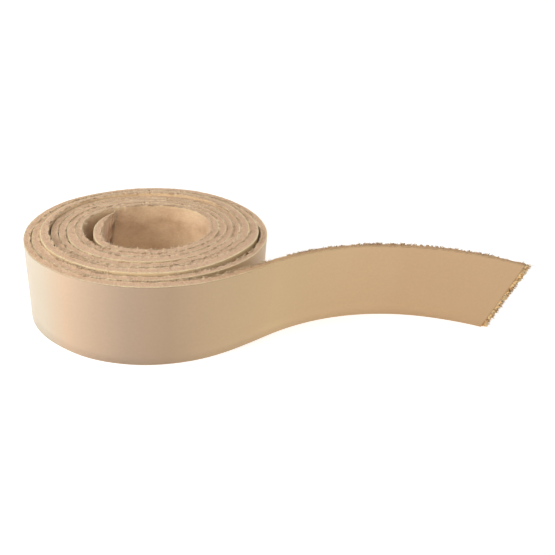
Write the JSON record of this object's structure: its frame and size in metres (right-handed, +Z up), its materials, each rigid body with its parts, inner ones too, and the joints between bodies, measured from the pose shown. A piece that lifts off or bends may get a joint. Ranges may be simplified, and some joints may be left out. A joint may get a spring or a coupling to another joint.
{
  "type": "rolled leather strap",
  "caption": "Plain natural vegetable-tanned leather strap standing on edge, wound into a coil with its free end swinging out to one side.",
  "frame": {"origin": "under the middle of the bounding box, in the plane that the strap's long edge stands on", "axes": "+Z up across the strap's width; +X horizontal, from the coil towards the free end; +Y horizontal, to the flesh side of the free end"},
  "size_m": [0.236, 0.1158, 0.0395],
  "materials": {
    "veg_tan_leather": "natural undyed vegetable-tanned leather: smooth matt grain side, suede flesh side, raw fibrous cut edges"
  },
  "bodies": {
    "root": {"leather_strap": "veg_tan_leather"}
  },
  "joints": []
}
